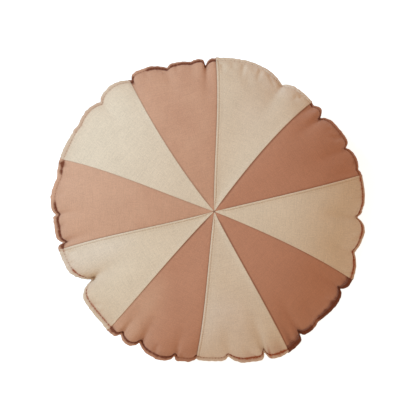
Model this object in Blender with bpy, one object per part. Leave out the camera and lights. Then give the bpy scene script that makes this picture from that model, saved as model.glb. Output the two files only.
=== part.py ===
"""A round patchwork cushion that lies on its back, its pieced face up.

Ten wedges meet at a point near the middle of the face. Face and back are sewn together at the rim,
and a row of stitches a little way in leaves a narrow stitched lip all round. The filling draws the
rim in, so the lip gathers into uneven notches, and a crease runs from each notch onto the face.

Metres, +Z up. The origin is under the middle of the cushion, on the surface that it rests on.
"""

import math
from collections import namedtuple

import bmesh
import bpy

MM = 0.001

# Driving dimensions
WIDTH = 0.450  # across the filled cushion, along X
RIM_HEIGHT = 0.060  # from the surface to the middle of the stitched lip
FACE_CROWN = 0.082  # rise of the face above the rim
BACK_CROWN = 0.078  # bulge of the back below the rim, before the surface flattens it
LIP_WIDTH = 0.0065  # from the row of stitches to the edge
LIP_THICKNESS = 0.0024  # two layers of cloth with their allowances between them
LIP_DROOP = math.radians(24)  # the lip hangs a little, edge down
LIP_DROOP_SWING = math.radians(14)  # less so on one side, and more on the other
LIP_FLATTEST = 215  # the lip stands out most in this direction, in degrees

# Shape of the filled form
CROWN_POWER = 2.5  # how broad the top of the crown is
CROWN_ROUNDING = 0.68  # how steeply the crown falls to the rim
SETTLED = 0.008  # height over which the back curves off the surface
RIM_WAVE = 0.0022  # the rim rises and dips by this much
RIM_WAVES = ((3, 40), (5, 250), (8, 110))  # waves round the rim, and where each starts in degrees
FOLD_TURN = 0.014  # a fold turns from the rim onto the face over this much cloth
FOLD_LEAN = 1.6  # and over this much more for each unit of its notch's depth
FOLD_ON_FACE = 0.55  # share of a notch's depth that its crease has on the face
FOLD_SPREAD = 0.11  # how much wider a crease gets for each unit that it runs inwards
SEAM_DEPTH = 0.0018  # the seams between wedges lie this deep in the face
SEAM_HALF_WIDTH = 1.1  # degrees; a seam's channel to each side, on the rows near the rim
INNER_SEAM_HALF_WIDTH = 2.8  # degrees; the same on the inner rows, where a degree is less cloth

# Gathers of the rim, anticlockwise from +X. The angle is in degrees about the point where the
# wedges meet. In millimetres: how deep the notch is, how far its shoulders reach before and after
# it, how far the lobe after it stands from that point, and how far its crease runs onto the face.
Gather = namedtuple("Gather", "angle depth before after reach crease")
GATHERS = (
    Gather(16.3, 3, 4, 5, 220, 25),
    Gather(25.7, 8, 8, 4, 217, 50),
    Gather(41.3, 14, 11, 6, 221, 62),
    Gather(46.7, 10, 12, 20, 218, 40),
    Gather(61.7, 11, 10, 18, 223, 42),
    Gather(93.3, 10, 4, 2, 221, 48),
    Gather(98.7, 4, 4, 20, 223, 20),
    Gather(108.1, 7, 5, 20, 231, 42),
    Gather(122.2, 11, 4, 20, 238, 36),
    Gather(136.1, 10, 9, 12, 238, 34),
    Gather(147.1, 4, 20, 16, 234, 25),
    Gather(167.3, 6, 12, 20, 236, 38),
    Gather(181.3, 5, 5, 2, 229, 22),
    Gather(191.6, 8, 3, 2, 229, 66),
    Gather(209.1, 25, 12, 7, 226, 96),
    Gather(232.8, 8, 2, 7, 231, 34),
    Gather(240.6, 13, 6, 10, 228, 50),
    Gather(254.8, 7, 4, 2, 220, 34),
    Gather(263.2, 6, 5, 8, 215, 22),
    Gather(275.8, 9, 5, 14, 223, 32),
    Gather(289.7, 11, 3, 3, 230, 46),
    Gather(305.1, 9, 2, 4, 223, 44),
    Gather(313.6, 5, 8, 20, 223, 18),
    Gather(328.5, 9, 6, 5, 225, 40),
    Gather(343.7, 13, 19, 20, 223, 34),
    Gather(357.6, 14, 8, 11, 219, 36),
)

# Seams between the wedges, anticlockwise: each one's angle in degrees where it leaves the point
# where they meet, half way out, and at the rim. Cream and rose wedges follow each other.
Seam = namedtuple("Seam", "start middle rim")
SEAMS = (
    Seam(13.5, 13.3, 13.9),
    Seam(53.2, 51.6, 48.2),
    Seam(90.5, 88.3, 89.2),
    Seam(129.5, 125.6, 122.8),
    Seam(160.6, 159.4, 161.0),
    Seam(195.5, 193.3, 193.9),
    Seam(225.5, 227.7, 228.3),
    Seam(263.0, 264.2, 263.2),
    Seam(297.5, 298.6, 298.2),
    Seam(338.0, 336.4, 333.8),
)

# Rows of the mesh, as shares of the way from the meeting point to the row of stitches
INNER_ROWS = (0.16, 0.34, 0.52)  # with the few columns of COARSE_COLUMNS
FACE_ROWS = (0.66, 0.77, 0.86, 0.92, 0.96, 0.985, 1.0)
BACK_ROWS = (1.0, 0.985, 0.955, 0.90, 0.83, 0.75, 0.665, 0.575)
COARSE_COLUMNS = 3  # between one seam and the next, on the inner rows
PLAIN_COLUMNS = 90  # round the rim, before those of the gathers and seams
NOTCH_COLUMNS = (0.45, 1.1, 2.4)  # beside a notch, in units of its shoulder
NEAREST_COLUMNS = 0.5  # degrees; columns closer than this are one
MOST_SHOULDER = 12  # millimetres; a wider shoulder is smooth enough for the plain columns

CREAM = (0.63, 0.51, 0.385, 1.0)
ROSE = (0.46, 0.22, 0.135, 1.0)
LINEN_ROUGHNESS = 0.92


def turn_between(start, end):
    """The signed angle in degrees from start to end, the short way round."""
    return (end - start + 180) % 360 - 180


def eased(share):
    """0 to 1 with a level start and end."""
    return (1 - math.cos(math.pi * min(max(share, 0.0), 1.0))) / 2


def lobe_middles():
    """(angle, reach) of each lobe, which lies between its gather and the next one."""
    middles = []
    for this, following in zip(GATHERS, GATHERS[1:] + GATHERS[:1]):
        half = (following.angle - this.angle) % 360 / 2
        middles.append((this.angle + half, this.reach * MM))
    return middles


LOBES = lobe_middles()


def lobe_reach(angle):
    """How far the rim would stand from the meeting point at this angle without its notches."""
    for (start, here), (end, there) in zip(LOBES, LOBES[1:] + LOBES[:1]):
        span = (end - start) % 360
        along = (angle - start) % 360
        if along <= span:
            return here + (there - here) * eased(along / span)
    raise ValueError("the lobes go all the way round")


def fold_depth(angle, inward):
    """How deep the cloth is folded in, this far inwards from the row of stitches."""
    depth = 0.0
    for gather in GATHERS:
        turn = turn_between(gather.angle, angle)
        shoulder = (gather.after if turn > 0 else gather.before) * MM + FOLD_SPREAD * inward
        away = abs(math.radians(turn)) * WIDTH / 2
        fade = math.exp(-3 * inward / (gather.crease * MM))
        depth += gather.depth * MM * fade * math.exp(-away / shoulder)
    return depth


def lip_droop(angle):
    """How far the lip's edge hangs at this angle."""
    return LIP_DROOP - LIP_DROOP_SWING * math.cos(math.radians(angle - LIP_FLATTEST))


def stitch_reach(angle):
    """From the meeting point to the row of stitches, without the notches."""
    return lobe_reach(angle) - LIP_WIDTH * math.cos(lip_droop(angle))


def rim_height(angle):
    """The rim's own height, which rises and dips a little as it goes round."""
    wave = sum(math.sin(math.radians(count * angle + start)) for count, start in RIM_WAVES)
    return RIM_HEIGHT + RIM_WAVE * wave


def crown(share):
    """Height of the filled form, from 1 over the meeting point to 0 at the row of stitches."""
    return (1 - share**CROWN_POWER) ** CROWN_ROUNDING


def flat_share():
    """How far out the back lies flat on the surface."""
    touching = (RIM_HEIGHT + SETTLED) / BACK_CROWN
    return (1 - touching ** (1 / CROWN_ROUNDING)) ** (1 / CROWN_POWER)


def settled(height):
    """The height once the surface below has flattened the cloth."""
    if height <= -SETTLED:
        return 0.0
    if height < SETTLED:
        return (height + SETTLED) ** 2 / (4 * SETTLED)
    return height


def seam_wander(seam, share):
    """How far the seam has turned from its place at the rim, in degrees."""
    start = turn_between(seam.rim, seam.start)
    middle = turn_between(seam.rim, seam.middle)
    if share < 0.5:
        return start + (middle - start) * eased(share * 2)
    return middle * (1 - eased(share * 2 - 1))


def column_angle(angle, share):
    """A column's angle on the way to the rim: it wanders with the seams on either side of it."""
    for seam, following in zip(SEAMS, SEAMS[1:] + SEAMS[:1]):
        span = (following.rim - seam.rim) % 360
        along = (angle - seam.rim) % 360
        if along < span:
            here = seam_wander(seam, share)
            there = seam_wander(following, share)
            return angle + here + (there - here) * along / span
    return angle


def seam_channel(angle, share):
    """Depth of the seam's channel in the face at a column."""
    nearest = min(abs(turn_between(seam.rim, angle)) for seam in SEAMS)
    half_width = INNER_SEAM_HALF_WIDTH if share in INNER_ROWS else SEAM_HALF_WIDTH
    return SEAM_DEPTH * max(0.0, 1 - nearest / half_width) * eased((1 - share) * 12)


def at(angle, radius, height):
    """A point from its angle in degrees, and its distance from the meeting point."""
    return (radius * math.cos(math.radians(angle)), radius * math.sin(math.radians(angle)), height)


def cloth_point(angle, share, up):
    """A point of the face (up is 1) or the back (up is -1), on the column that ends at angle."""
    reach = stitch_reach(angle)
    inward = (1 - share) * reach
    fold = fold_depth(angle, inward)
    turned = eased(inward / (FOLD_TURN + FOLD_LEAN * fold_depth(angle, 0.0)))
    radius = share * reach - fold * (1 - turned)
    groove = fold * turned * FOLD_ON_FACE
    lies_at = column_angle(angle, share)
    rim = rim_height(angle) * share + RIM_HEIGHT * (1 - share)
    if up > 0:
        height = rim + LIP_THICKNESS / 2 + FACE_CROWN * crown(share) - groove
        return at(lies_at, radius, height - seam_channel(angle, share))
    height = rim - LIP_THICKNESS / 2 - BACK_CROWN * crown(share) + groove
    return at(lies_at, radius, settled(height))


def lip_edge(angle, up):
    """A point of the lip's outer edge, on its upper or lower side."""
    radius = lobe_reach(angle) - fold_depth(angle, 0.0)
    height = rim_height(angle) - LIP_WIDTH * math.sin(lip_droop(angle))
    return at(angle, radius, height + up * LIP_THICKNESS / 2)


def fine_columns():
    """Angles of the columns at the rim: each notch and seam, what lies beside it, then the rest."""
    wanted = [gather.angle for gather in GATHERS] + [seam.rim for seam in SEAMS]
    for step in NOTCH_COLUMNS:
        for gather in GATHERS:
            before = min(gather.before, MOST_SHOULDER) * MM * step
            after = min(gather.after, MOST_SHOULDER) * MM * step
            wanted.append(gather.angle - math.degrees(before / (WIDTH / 2)))
            wanted.append(gather.angle + math.degrees(after / (WIDTH / 2)))
    for seam in SEAMS:
        wanted += [seam.rim - SEAM_HALF_WIDTH, seam.rim + SEAM_HALF_WIDTH]
    wanted += [360 * step / PLAIN_COLUMNS for step in range(PLAIN_COLUMNS)]
    columns = []
    for angle in wanted:
        angle %= 360
        if all(abs(turn_between(angle, other)) >= NEAREST_COLUMNS for other in columns):
            columns.append(angle)
    return sorted(columns)


def coarse_columns():
    """The few columns of the inner rows: each seam's three, and some between the seams."""
    columns = []
    for seam, following in zip(SEAMS, SEAMS[1:] + SEAMS[:1]):
        span = (following.rim - seam.rim) % 360
        columns += [seam.rim - INNER_SEAM_HALF_WIDTH, seam.rim]
        columns.append(seam.rim + INNER_SEAM_HALF_WIDTH)
        for step in range(1, COARSE_COLUMNS + 1):
            columns.append(seam.rim + span * step / (COARSE_COLUMNS + 1))
    return sorted(angle % 360 for angle in columns)


def add_ring(mesh, columns, point):
    """A ring of vertices, as (angle, vertex) pairs, where point gives each one's place."""
    return [(angle, mesh.verts.new(point(angle))) for angle in columns]


def zip_rings(mesh, lower, upper):
    """Triangles between two rings that may have different columns, facing up or outwards."""
    low, high = 0, 0
    while low < len(lower) or high < len(upper):
        low_angle = lower[(low + 1) % len(lower)][0] + 360 * ((low + 1) // len(lower))
        high_angle = upper[(high + 1) % len(upper)][0] + 360 * ((high + 1) // len(upper))
        below = lower[low % len(lower)][1]
        above = upper[high % len(upper)][1]
        if high == len(upper) or (low < len(lower) and low_angle <= high_angle):
            mesh.faces.new((below, lower[(low + 1) % len(lower)][1], above))
            low += 1
        else:
            mesh.faces.new((below, upper[(high + 1) % len(upper)][1], above))
            high += 1


def close_ring(mesh, ring, middle):
    """Triangles from a ring to one vertex in its middle."""
    for (_, here), (_, there) in zip(ring, ring[1:] + ring[:1]):
        mesh.faces.new((here, there, middle))


def cushion_mesh():
    """The filled cushion as one closed mesh, made in rings from the middle of its back up to the
    rim and over the face."""
    mesh = bmesh.new()
    fine, coarse = fine_columns(), coarse_columns()

    def ring(columns, share, up):
        return add_ring(mesh, columns, lambda angle: cloth_point(angle, share, up))

    def patch_edge(angle):
        return at(angle, flat_share() * stitch_reach(angle), 0.0)

    rings = [add_ring(mesh, coarse, patch_edge)]
    rings += [ring(fine, share, -1) for share in reversed(BACK_ROWS)]
    rings += [add_ring(mesh, fine, lambda angle, up=up: lip_edge(angle, up)) for up in (-1, 1)]
    rings += [ring(fine, share, 1) for share in reversed(FACE_ROWS)]
    rings += [ring(coarse, share, 1) for share in reversed(INNER_ROWS)]
    for lower, upper in zip(rings, rings[1:]):
        zip_rings(mesh, lower, upper)
    back_middle = mesh.verts.new((0.0, 0.0, 0.0))
    close_ring(mesh, rings[0], back_middle)
    close_ring(mesh, rings[-1], mesh.verts.new(cloth_point(0.0, 0.0, 1)))
    return mesh


def centre_on_origin(mesh):
    """Scales the mesh to the width and moves the middle of its outline over the origin."""
    across = [vertex.co.x for vertex in mesh.verts]
    along = [vertex.co.y for vertex in mesh.verts]
    scale = WIDTH / (max(across) - min(across))
    middle_x = (max(across) + min(across)) / 2
    middle_y = (max(along) + min(along)) / 2
    for vertex in mesh.verts:
        vertex.co.x = (vertex.co.x - middle_x) * scale
        vertex.co.y = (vertex.co.y - middle_y) * scale
    return -middle_x * scale, -middle_y * scale


def wedge_number(x, y):
    """Which wedge a place on the face belongs to, counted anticlockwise."""
    angle = math.degrees(math.atan2(y, x))
    for number, (seam, following) in enumerate(zip(SEAMS, SEAMS[1:] + SEAMS[:1])):
        if (angle - seam.rim) % 360 < (following.rim - seam.rim) % 360:
            return number
    return 0


def linen(name, colour):
    """A plain dyed linen."""
    material = bpy.data.materials.new(name)
    material.use_nodes = True
    shader = material.node_tree.nodes["Principled BSDF"]
    shader.inputs["Base Color"].default_value = colour
    shader.inputs["Roughness"].default_value = LINEN_ROUGHNESS
    shader.inputs["Metallic"].default_value = 0.0
    return material


def build_cushion():
    """The cushion's object, with cream and rose wedges on its face and a cream back."""
    mesh = cushion_mesh()
    meeting_x, meeting_y = centre_on_origin(mesh)
    bmesh.ops.recalc_face_normals(mesh, faces=mesh.faces)
    mesh.normal_update()
    for face in mesh.faces:
        middle = face.calc_center_median()
        on_face = face.normal.z > 0 and middle.z > RIM_HEIGHT - LIP_WIDTH
        wedge = wedge_number(middle.x - meeting_x, middle.y - meeting_y)
        face.material_index = 1 if on_face and wedge % 2 == 0 else 0
        face.smooth = True
    data = bpy.data.meshes.new("cushion")
    mesh.to_mesh(data)
    mesh.free()
    data.materials.append(linen("cream_linen", CREAM))
    data.materials.append(linen("rose_linen", ROSE))
    data.set_sharp_from_angle(angle=math.radians(50))
    cushion = bpy.data.objects.new("cushion", data)
    bpy.context.scene.collection.objects.link(cushion)
    return cushion


def clear_scene():
    for thing in list(bpy.data.objects):
        bpy.data.objects.remove(thing)


clear_scene()
build_cushion()
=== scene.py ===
"""The look of the round patchwork cushion: ten linen wedges, the back, the stitched lip and the
stitches, on a pale studio floor.

The cover is cut flat, sewn to the outline that the gathers leave, and filled by Blender's cloth
solver. The wedges are then cut finely out of the filled shape, each with its own edges and grain.
"""

import math
from collections import namedtuple

import bpy
import numpy as np
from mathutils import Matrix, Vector


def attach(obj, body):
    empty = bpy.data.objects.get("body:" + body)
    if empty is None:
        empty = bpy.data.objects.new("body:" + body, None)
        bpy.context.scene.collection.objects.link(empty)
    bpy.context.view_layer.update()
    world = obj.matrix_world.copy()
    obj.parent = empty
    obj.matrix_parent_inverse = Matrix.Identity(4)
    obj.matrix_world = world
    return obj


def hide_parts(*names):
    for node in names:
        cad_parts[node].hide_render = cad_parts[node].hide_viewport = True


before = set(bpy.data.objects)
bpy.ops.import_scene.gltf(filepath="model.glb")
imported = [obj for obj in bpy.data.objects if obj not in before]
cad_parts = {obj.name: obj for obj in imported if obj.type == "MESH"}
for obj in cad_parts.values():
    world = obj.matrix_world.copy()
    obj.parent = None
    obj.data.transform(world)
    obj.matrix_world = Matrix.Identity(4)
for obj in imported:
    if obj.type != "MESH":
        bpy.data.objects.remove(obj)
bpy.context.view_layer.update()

MM = 0.001

# Sizes that the solid has too
WIDTH = 0.450
RIM_HEIGHT = 0.060
FACE_CROWN = 0.082
BACK_CROWN = 0.078
LIP_WIDTH = 0.0065
LIP_DROOP = math.radians(37)
LIP_DROOP_SWING = math.radians(17)
LIP_FLATTEST = 215
SETTLED = 0.008
RIM_WAVE = 0.0022
RIM_WAVES = ((3, 40), (5, 250), (8, 110))

# Gathers of the rim, anticlockwise from +X: the angle about the point where the wedges meet, and in
# millimetres the notch's depth, how far its shoulders reach before and after it, and how far the
# lobe after it stands from that point
Gather = namedtuple("Gather", "angle depth before after reach")
GATHERS_ROWS = (
    (16.3, 3.1, 4.3, 4.7, 219.8),
    (25.7, 7.9, 8.1, 3.8, 216.9),
    (41.3, 14.6, 11.6, 6.1, 221.6),
    (46.7, 11.5, 13.7, 22.0, 217.6),
    (61.7, 10.8, 10.4, 18.2, 222.9),
    (93.3, 10.0, 3.5, 1.5, 220.6),
    (98.7, 3.5, 3.7, 22.0, 222.8),
    (108.1, 7.0, 4.8, 22.0, 230.9),
    (122.2, 10.9, 4.1, 22.0, 238.0),
    (136.1, 9.5, 9.0, 12.3, 237.8),
    (147.1, 4.4, 22.0, 16.8, 234.2),
    (167.3, 5.6, 12.4, 21.8, 235.6),
    (181.3, 4.8, 4.8, 1.9, 229.2),
    (191.6, 7.8, 3.1, 1.6, 229.0),
    (209.1, 25.7, 13.0, 6.7, 226.1),
    (232.8, 7.6, 1.5, 6.9, 230.7),
    (240.6, 12.6, 5.5, 9.7, 228.3),
    (254.8, 6.5, 3.4, 1.6, 219.7),
    (263.2, 5.7, 5.0, 7.7, 215.1),
    (275.8, 9.0, 5.4, 14.7, 223.1),
    (289.7, 10.8, 2.6, 2.6, 230.2),
    (305.1, 9.3, 1.5, 4.2, 222.6),
    (313.6, 4.7, 8.0, 22.0, 223.2),
    (328.5, 9.2, 5.8, 4.8, 225.2),
    (343.7, 13.0, 20.5, 22.0, 222.8),
    (357.6, 13.6, 8.0, 11.4, 219.3),
)
GATHERS = [Gather(*row) for row in GATHERS_ROWS]

MEAN_REACH = 0.220  # from the meeting point to the rim, on average
NOTCH_OPEN = 0.0008  # half of a notch's width at its bottom

# Where the lip is wider than the solid's: from and to which angle, and by how many millimetres
WIDER_LIP = ((152, 207, 1.5), (211, 232, 1.5), (275, 298, 1.7))

# Seams between the wedges, anticlockwise: the angle where each leaves the meeting point, halfway
# and at the rim, the side on which its allowances are stitched down, if they are, and how much
# shade is painted along the seam, mostly on the rose wedge's edge as the shadow of the cream one,
# near the meeting point and at the rim
Seam = namedtuple("Seam", "start middle rim stitched inner_dark outer_dark")
SEAMS = (
    Seam(13.5, 13.3, 13.9, "before", 0.05, 0.5),
    Seam(53.2, 51.6, 48.2, None, 0.8, 0.6),
    Seam(90.5, 88.3, 89.2, "before", 0.0, 0.2),
    Seam(129.5, 125.6, 122.8, None, 0.5, 0.05),
    Seam(160.6, 159.4, 161.0, None, 0.15, 0.0),
    Seam(195.5, 193.3, 193.9, "after", 0.0, 0.3),
    Seam(225.5, 227.7, 228.3, None, 1.1, 0.0),
    Seam(263.0, 264.2, 263.2, "after", 0.0, 0.3),
    Seam(297.5, 298.6, 298.2, None, 0.7, 0.8),
    Seam(338.0, 336.4, 333.8, None, 0.15, 0.3),
)

# The cloth, and how it is filled
CLOTH = 0.0005  # thickness of the linen
CUT_RADIUS = 0.257  # of the flat rounds, out to the row of stitches
FILL_COLUMNS = 288
FILL_ROWS = 26
FILL_STEPS = 16
FILLING = {
    "quality": 5,
    "mass": 0.3,
    "tension_stiffness": 15,
    "compression_stiffness": 15,
    "shear_stiffness": 5,
    "bending_stiffness": 0.4,
    "pin_stiffness": 1,
    "use_pressure": True,
    "uniform_pressure_force": 60,
}
CALM = 11  # gathers to a full turn that are left near the meeting point

# Sewn edges, in millimetres from the seam and above the cloth around it
FULL_EDGES = 25  # from this far out of the meeting point they have their full width
RIDGE_HEIGHT = 0.45  # a cream wedge's edge lies on its allowances
STITCHED_RIDGE = 0.75
RIDGE_WIDTH = 9.0
EDGE_ROLL = 1.0  # radius of the cream wedge's turned edge
ROSE_DIP = 0.6  # a rose wedge's edge goes down under the cream one
STITCH_LINE = 3.6  # stitched seams have their stitches this far in
STITCH_DIMPLE = 0.45
CENTRE_DIP = 0.35  # where the wedges meet
TURNED_UNDER = ((0.0, -0.75), (0.25, -1.3), (0.9, -1.5))  # the cream edge goes back under itself
GOES_UNDER = ((-0.7, -0.95), (-1.6, -1.1))  # the rose edge goes on below the cream one

# For each wedge, how much shade is painted in its crease at the rim, how far in millimetres that
# reaches onto the face and over what share of the lip, how much shade is painted on the lip, and
# how much light is painted on the wedge, a paler colour all over it
PaintedShading = namedtuple("PaintedShading", "creased onto spread lip faded")
PAINTED_SHADING = (
    PaintedShading(0.5, 2.2, 0.6, 0.12, 0.0),
    PaintedShading(0.1, 1.2, 0.3, 0.06, 0.1),
    PaintedShading(2.2, 1.2, 0.5, 0.06, 0.8),
    PaintedShading(0.16, 1.2, 0.5, 0.22, 0.1),
    PaintedShading(2.2, 1.2, 0.38, 0.0, 0.85),
    PaintedShading(1.05, 1.2, 0.3, 0.12, 0.0),
    PaintedShading(2.1, 1.2, 0.4, 0.03, 0.15),
    PaintedShading(1.15, 1.2, 0.35, 0.16, 0.2),
    PaintedShading(2.2, 4.5, 1.2, 0.2, 0.0),
    PaintedShading(1.2, 1.4, 0.45, 0.25, 0.0),
)

# Stretches of the rim where less or more shade is painted in the crease than in the rest of the
# wedge: from and to which angle, how much of its painted shade is left, and how much more shade is
# painted on the lip there
Stretch = namedtuple("Stretch", "start end left lip")
STRETCHES_ROWS = (
    (115.5, 121.0, 0.15, 0.0),
    (134.0, 151.0, 1.0, 0.18),
    (166.0, 176.5, 0.08, 0.0),
    (195.0, 202.0, 0.15, 0.0),
    (203.0, 206.5, 1.5, 0.0),
    (207.0, 211.5, 0.0, 0.0),
    (255.8, 262.8, 0.12, 0.2),
    (264.0, 275.0, 0.25, 0.0),
    (277.5, 287.0, 1.1, 0.1),
    (310.5, 314.5, 0.4, -0.1),
    (335.0, 342.0, 1.2, 0.12),
)
STRETCHES = [Stretch(*row) for row in STRETCHES_ROWS]

# Painted shade at the rim where the cloth is pinched into folds: the angle, how far each reaches
# inwards and along the rim in millimetres, and how dark it is
FoldShade = namedtuple("FoldShade", "angle inward along amount")
FOLD_SHADE_ROWS = (
    (41.6, 4, 2.6, 0.6),
    (47.6, 3, 2.6, 0.6),
    (122.0, 4, 2.6, 0.8),
    (162.6, 3, 2.6, 0.8),
    (192.4, 5, 2.6, 0.8),
    (211.0, 60, 9.0, 0.15),
    (229.5, 3, 2.6, 0.6),
    (283.5, 14, 13.0, 0.2),
    (291.4, 13, 1.7, 0.8),
    (294.5, 24, 11.0, 0.32),
    (300.4, 34, 4.5, 0.55),
    (303.6, 16, 4.0, 0.7),
    (306.0, 9, 2.6, 0.5),
    (331.2, 12, 4.0, 0.7),
    (327.0, 8, 2.6, 0.5),
)
FOLD_SHADES = [FoldShade(*row) for row in FOLD_SHADE_ROWS]

# Painted light: places towards the rim where a wedge is painted paler than in the rest of it: the
# wedge, the angle, how many degrees to either side, from which share of the way out, and by how
# much
Fade = namedtuple("Fade", "wedge angle around inner amount")
PAINTED_LIGHTS = (
    Fade(2, 67, 12, 0.4, 0.3),
    Fade(2, 61, 15, 0.84, 0.4),
    Fade(5, 178, 30, 0.4, 0.5),
    Fade(6, 200, 7, 0.4, 0.6),
    Fade(7, 233, 8, 0.4, 0.85),
    Fade(8, 275, 15, 0.4, 1.2),
    Fade(10, 352, 20, 0.8, 0.4),
)

# Puckers at the rim's stitches, in millimetres: how high they are, and between which angles they
# are this much lower
PUCKERS = 0.6
SMOOTHER_BY = 0.4
SMOOTHER_RIM = ((48, 89), (123, 161))

# Painted shade: how dark the cloth is painted in a full gather, inwards of the rim, where the
# wedges meet, along a row of stitches, at a cream and at a rose wedge's edge, and on a turned edge
GATHER_PAINTED_SHADE = 0.25
RIM_PAINTED_SHADE = 0.10
CENTRE_PAINTED_SHADE = 0.5
STITCH_PAINTED_SHADE = 0.16
CREAM_EDGE_PAINTED_SHADE = 0.6
ROSE_EDGE_PAINTED_SHADOW = 0.75
TURNED_PAINTED_SHADE = 0.6

# The lip in section: how far across it, and in millimetres above its middle
LIP_SECTION = (
    (0.08, 0.85),
    (0.22, 1.0),
    (0.42, 1.15),
    (0.64, 1.15),
    (0.82, 1.1),
    (0.92, 0.95),
    (0.975, 0.65),
    (1.0, 0.3),
    (0.985, 0.06),
    (0.9, 0.05),
    (0.6, 0.05),
)
LIP_ACROSS = np.array([across for across, above in LIP_SECTION])
LIP_AT_STITCHES = 0.8  # millimetres; half of its thickness where the stitches hold it
LIP_UNEVEN = 1.5  # millimetres that its edge wanders in and out
RIM_STITCHES_AT = 0.13  # share of the lip

# Threads of the linen, and how far they wander from a straight line
WARP_SPACING = 0.00058
WEFT_SPACING = 0.00064
WANDER = 0.0012

CREAM = (0.64, 0.53, 0.372)
ROSE = (0.462, 0.220, 0.125)
# Painted shade: the darker colours mixed in where shade is painted
CREAM_PAINTED_SHADE = (0.36, 0.105, 0.038)
ROSE_PAINTED_SHADE = (0.160, 0.044, 0.016)
# Painted light: the paler colours mixed in where light is painted
CREAM_PAINTED_LIGHT = (0.68, 0.59, 0.46)
ROSE_PAINTED_LIGHT = (0.54, 0.315, 0.195)
CREAM_THREAD = (0.50, 0.37, 0.22)
ROSE_THREAD = (0.24, 0.058, 0.022)

PHOTO_SIDE = 420  # pixels
CUSHION_ACROSS = 313.5  # pixels in the photo
CAMERA_SHIFT = (0.0026, -0.0004)


# Outline and cut


def turn_between(start, end):
    """The signed angle in degrees from start to end, the short way round."""
    return (end - start + 180) % 360 - 180


def along_rim(angle, angles):
    """How far along the rim it is from one angle to others, at its average reach."""
    return np.radians(turn_between(angle, angles)) * MEAN_REACH


def eased(share):
    """0 to 1 with a level start and end."""
    return (1 - np.cos(np.pi * np.clip(share, 0, 1))) / 2


def within(start, end, soft, angles):
    """1 between two angles and 0 outside of them, with a rise of this many degrees inside."""
    away = abs(turn_between((start + end) / 2, angles))
    return eased(((end - start) / 2 - away) / soft)


def bell(away, width):
    """1 where away is 0, fading to either side."""
    return np.exp(-((away / width) ** 2))


def lobe_reach(angles):
    """From the meeting point to the lip's edge, without the notches."""
    at = np.array([gather.angle for gather in GATHERS])
    reach = np.array([gather.reach for gather in GATHERS]) * MM
    middles = at + (np.roll(at, -1) - at) % 360 / 2
    places = np.concatenate([[middles[-1] - 360], middles, [middles[0] + 360]])
    reaches = np.concatenate([[reach[-1]], reach, [reach[0]]])
    angles = np.where(angles % 360 < middles[-1], angles % 360, angles % 360 - 360)
    lobe = np.clip(np.searchsorted(places, angles, side="right") - 1, 0, len(GATHERS))
    along = eased((angles - places[lobe]) / (places[lobe + 1] - places[lobe]))
    return reaches[lobe] * (1 - along) + reaches[lobe + 1] * along


def edge_reach(angles):
    """From the meeting point to the lip's edge, with the notches."""
    reach = lobe_reach(angles)
    for gather in GATHERS:
        away = along_rim(gather.angle, angles)
        shoulder = np.where(away > 0, gather.after, gather.before) * MM
        open_sides = np.maximum(abs(away) - NOTCH_OPEN, 0)
        reach = reach - gather.depth * MM * np.exp(-open_sides / shoulder)
    return reach


def lip_droop(angles):
    """How far the lip hangs at each angle: less to the lower left, where it stands out."""
    swing = LIP_DROOP_SWING * np.cos(np.radians(angles - LIP_FLATTEST))
    ripple = np.radians(5) * np.sin(np.radians(angles * 11 + 30))
    return LIP_DROOP - swing + ripple * np.sin(np.radians(angles * 4 + 100))


def stitch_reach(angles):
    """From the meeting point to the row of stitches at the rim."""
    return edge_reach(angles) - LIP_WIDTH * np.cos(lip_droop(angles))


def rim_height(angles):
    wave = sum(np.sin(np.radians(count * angles + start)) for count, start in RIM_WAVES)
    return RIM_HEIGHT + RIM_WAVE * wave


def spun(angles, reach, height):
    """Points from their angles in degrees, distances from the meeting point and heights."""
    turn = np.radians(angles)
    parts = (reach * np.cos(turn), reach * np.sin(turn), height + 0 * turn)
    return np.stack(np.broadcast_arrays(*parts), axis=-1)


FINE_ANGLES = np.linspace(0, 360, 14401)
FINE_STEPS = np.diff(spun(FINE_ANGLES, stitch_reach(FINE_ANGLES), 0), axis=0)
FINE_LENGTHS = np.append(0, np.cumsum(np.linalg.norm(FINE_STEPS, axis=1)))
RIM_LENGTH = FINE_LENGTHS[-1]
COLUMN_STEP = RIM_LENGTH / FILL_COLUMNS
EDGE = spun(FINE_ANGLES, edge_reach(FINE_ANGLES), 0)
EDGE_LOW, EDGE_HIGH = EDGE.min(axis=0), EDGE.max(axis=0)


def rim_length(column):
    """How far along the rim a column of the cloth reaches it. Columns are even along the rim."""
    return np.asarray(column) / FILL_COLUMNS * RIM_LENGTH


def rim_angle(column):
    """The angle at which a column of the cloth reaches the rim."""
    length = rim_length(column)
    turns = np.floor(length / RIM_LENGTH)
    return np.interp(length - turns * RIM_LENGTH, FINE_LENGTHS, FINE_ANGLES) + 360 * turns


# The column and the angle of each seam, and of the first one again after a full turn
SEAM_LENGTHS = np.interp([seam.rim for seam in SEAMS], FINE_ANGLES, FINE_LENGTHS)
SEAM_COLUMNS = SEAM_LENGTHS / RIM_LENGTH * FILL_COLUMNS
SEAM_COLUMNS = np.append(SEAM_COLUMNS, SEAM_COLUMNS[0] + FILL_COLUMNS)
SEAM_STARTS = np.array([seam.start for seam in SEAMS] + [SEAMS[0].start + 360])


def cut_angle(column):
    """A column's angle on the flat cut, which is also its angle near the meeting point."""
    column = np.asarray(column, dtype=float)
    turns = np.floor((column - SEAM_COLUMNS[0]) / FILL_COLUMNS)
    return np.interp(column - turns * FILL_COLUMNS, SEAM_COLUMNS, SEAM_STARTS) + 360 * turns


def row_share(row):
    """How far out a row of the cloth lies on its flat cut, from 0 to 1 at the row of stitches. Rows
    are closer together towards the rim."""
    bend = math.pi / 2 * 0.85
    return np.sin(np.asarray(row) / FILL_ROWS * bend) / math.sin(bend)


FILL_SHARES = row_share(np.arange(FILL_ROWS + 1))[:, None]


# Filling


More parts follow.
